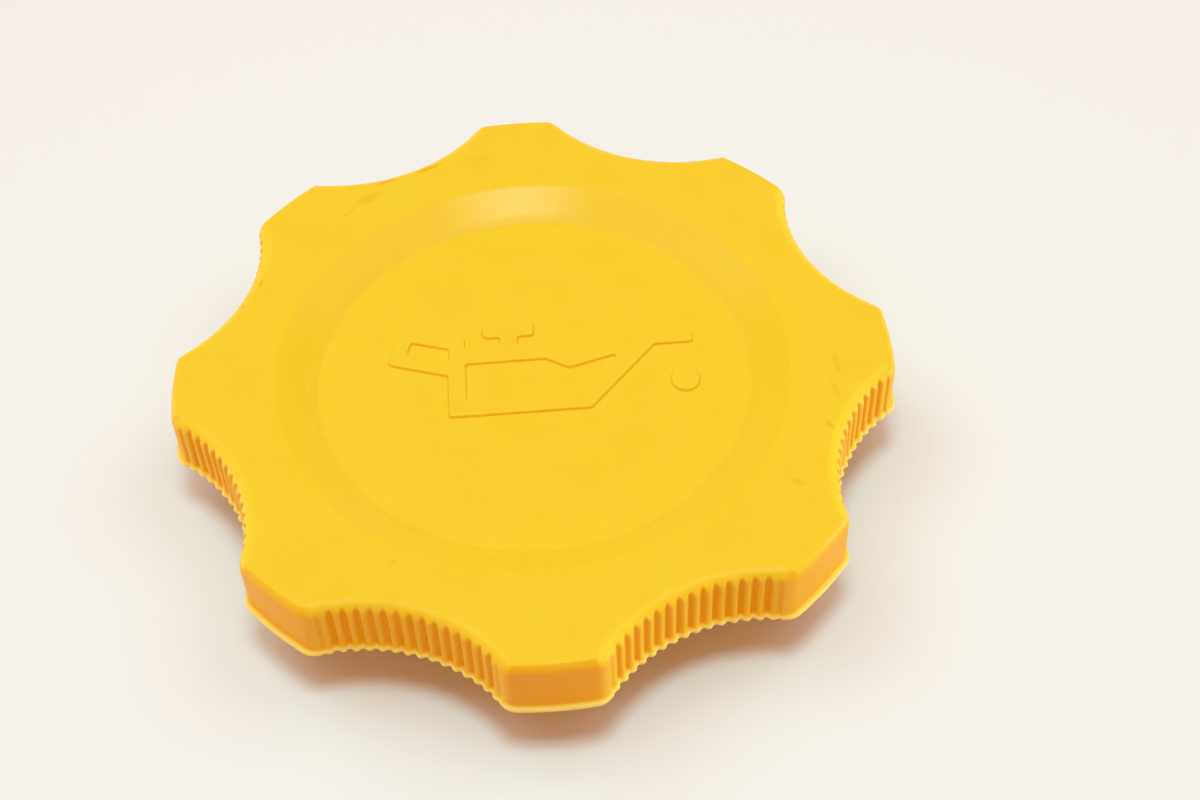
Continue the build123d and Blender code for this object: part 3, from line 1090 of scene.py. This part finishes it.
def hang_lamps(scene):
    """Soft lamps that face the middle of the table and aren't seen themselves."""
    for name, heading, rise, distance, width, height, power, code in LAMPS:
        lamp = bpy.data.lights.new(name, "AREA")
        lamp.shape = "ELLIPSE"
        lamp.size = width
        lamp.size_y = height
        lamp.energy = power
        lamp.color = linear(code)
        holder = bpy.data.objects.new(name, lamp)
        heading, rise = np.radians([heading, rise])
        way = Vector((np.cos(heading) * np.cos(rise), np.sin(heading) * np.cos(rise), np.sin(rise)))
        holder.location = way * distance
        holder.rotation_euler = way.to_track_quat("Z", "Y").to_euler()
        holder.visible_camera = False
        scene.collection.objects.link(holder)


def surround(scene):
    """The room: warm light from all round, and a pale backdrop for the eye and for reflections."""
    colours = scene.oilcap_finishes
    scene.world = bpy.data.worlds.new("studio")
    scene.world.use_nodes = True
    tree = scene.world.node_tree
    tree.nodes.clear()
    path = add_node(tree, "ShaderNodeLightPath").outputs
    seen = path["Is Camera Ray"]
    for ray in ("Is Glossy Ray", "Is Transmission Ray"):
        either = add_node(tree, "ShaderNodeMath", {0: seen, 1: path[ray]}, operation="MAXIMUM")
        seen = either.outputs[0]
    light = add_node(
        tree, "ShaderNodeBackground", {"Color": solid(colours.fill), "Strength": colours.fill_level}
    )
    backdrop = add_node(
        tree, "ShaderNodeBackground", {"Color": solid(colours.backdrop), "Strength": 1.0}
    )
    both = add_node(
        tree, "ShaderNodeMixShader",
        {"Fac": seen, 1: light.outputs["Background"], 2: backdrop.outputs["Background"]},
    )
    add_node(tree, "ShaderNodeOutputWorld", {"Surface": both.outputs["Shader"]})


def camera_matrix(top):
    """Place and axes of the camera.

    The view tilts down from level, rolls about its own line of sight and turns about the cap's axis; the
    middle of the top face is VIEW_RIGHT, VIEW_DOWN and VIEW_AWAY from the camera along its own axes.
    """
    tilt, roll, heading = np.radians([VIEW_TILT, VIEW_ROLL, VIEW_HEADING])
    forward = np.array([0, np.cos(tilt), -np.sin(tilt)])
    level = np.array([1.0, 0, 0])
    upright = np.cross(forward, level)
    right = np.cos(roll) * level - np.sin(roll) * upright
    down = np.sin(roll) * level + np.cos(roll) * upright
    spot = -(VIEW_RIGHT * right + VIEW_DOWN * down + VIEW_AWAY * forward) * MM
    axes = Matrix(np.column_stack([right, -down, -forward]).tolist()).to_4x4()
    about_axis = Matrix.Rotation(heading, 4, "Z")
    return about_axis @ Matrix.Translation(Vector(spot) + Vector((0, 0, top))) @ axes


def place_camera(scene):
    """The camera, at the photograph's view."""
    camera = bpy.data.cameras.new("camera")
    camera.lens = LENS
    camera.sensor_width = SENSOR
    camera.sensor_fit = "HORIZONTAL"
    camera.clip_start = NEAREST
    camera.clip_end = FARTHEST
    viewer = bpy.data.objects.new("camera", camera)
    viewer.matrix_world = camera_matrix(scene.oilcap_grip.top)
    scene.collection.objects.link(viewer)
    scene.camera = viewer


class OILCAP_OT_stage(bpy.types.Operator):
    """Sets the stage: a pale table, lamps above and below, strips at its height, a warm room, the camera."""

    bl_idname = "oilcap.stage"
    bl_label = "Stage"

    def execute(self, context):
        lay_table(context.scene)
        hang_lamps(context.scene)
        surround(context.scene)
        place_camera(context.scene)
        context.scene.view_settings.view_transform = "Standard"
        return {"FINISHED"}


OPERATORS = (OILCAP_OT_moulding, OILCAP_OT_ribs, OILCAP_OT_lugs, OILCAP_OT_seal, OILCAP_OT_stage)
GROUPS = {
    "oilcap_grip": GripSizes,
    "oilcap_dish": DishSizes,
    "oilcap_spigot": SpigotSizes,
    "oilcap_sign": SignSizes,
    "oilcap_finishes": Finishes,
}


class OILCAP_PT_pieces(bpy.types.Panel):
    """Lists the cap's pieces and the sizes and colours they are built from."""

    bl_idname = "OILCAP_PT_pieces"
    bl_label = "Oil filler cap"
    bl_space_type = "VIEW_3D"
    bl_region_type = "UI"
    bl_category = "Oil filler cap"

    def draw(self, context):
        for operator in OPERATORS:
            self.layout.operator(operator.bl_idname)
        for name, group in GROUPS.items():
            box = self.layout.box()
            box.label(text=group.__doc__)
            for field in group.__annotations__:
                box.prop(getattr(context.scene, name), field)


def register():
    """Registers the sizes, the operators and the panel."""
    for name, group in GROUPS.items():
        bpy.utils.register_class(group)
        setattr(bpy.types.Scene, name, bpy.props.PointerProperty(type=group))
    for cls in (*OPERATORS, OILCAP_PT_pieces):
        bpy.utils.register_class(cls)


def unregister():
    """Removes what register added."""
    for cls in (OILCAP_PT_pieces, *reversed(OPERATORS)):
        bpy.utils.unregister_class(cls)
    for name, group in reversed(GROUPS.items()):
        delattr(bpy.types.Scene, name)
        bpy.utils.unregister_class(group)


def main():
    """Builds every piece and the stage."""
    register()
    bpy.ops.oilcap.moulding()
    bpy.ops.oilcap.ribs()
    bpy.ops.oilcap.lugs()
    bpy.ops.oilcap.seal()
    bpy.ops.oilcap.stage()


if __name__ == "__main__":
    main()
